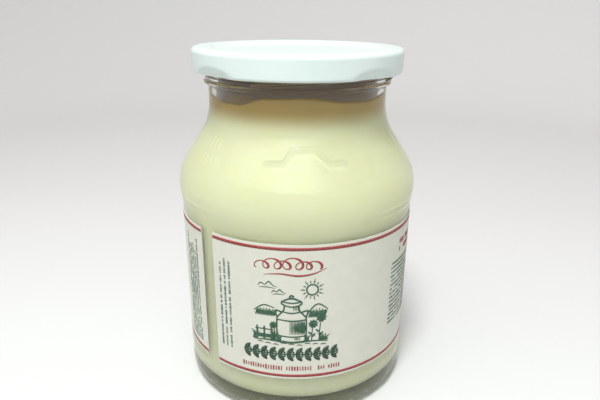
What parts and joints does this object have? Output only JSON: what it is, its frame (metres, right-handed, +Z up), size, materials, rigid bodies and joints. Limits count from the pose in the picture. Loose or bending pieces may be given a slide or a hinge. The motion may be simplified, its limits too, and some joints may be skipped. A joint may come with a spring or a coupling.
{
  "type": "jar of yogurt",
  "caption": "Closed glass jar of plain yogurt with a white metal twist-off lid, a narrow neck over a rounded shoulder, and a wrap-round paper label.",
  "frame": {"origin": "centre of the base, on the plane that the standing ring rests on", "axes": "+Z up along the jar's axis; -Y towards the front of the label, +X to the right of it"},
  "size_m": [0.0872, 0.0872, 0.1243],
  "materials": {
    "clear_glass": "clear, fire-polished",
    "white_enamel": "semi-gloss white enamel on tinplate",
    "yogurt_cream": "smooth, moist, pale cream",
    "label_paper": "uncoated cream paper with printed lines and motifs"
  },
  "bodies": {
    "root": {"glass_jar": "clear_glass", "lid": "white_enamel", "yogurt": "yogurt_cream", "label": "label_paper"}
  },
  "joints": []
}
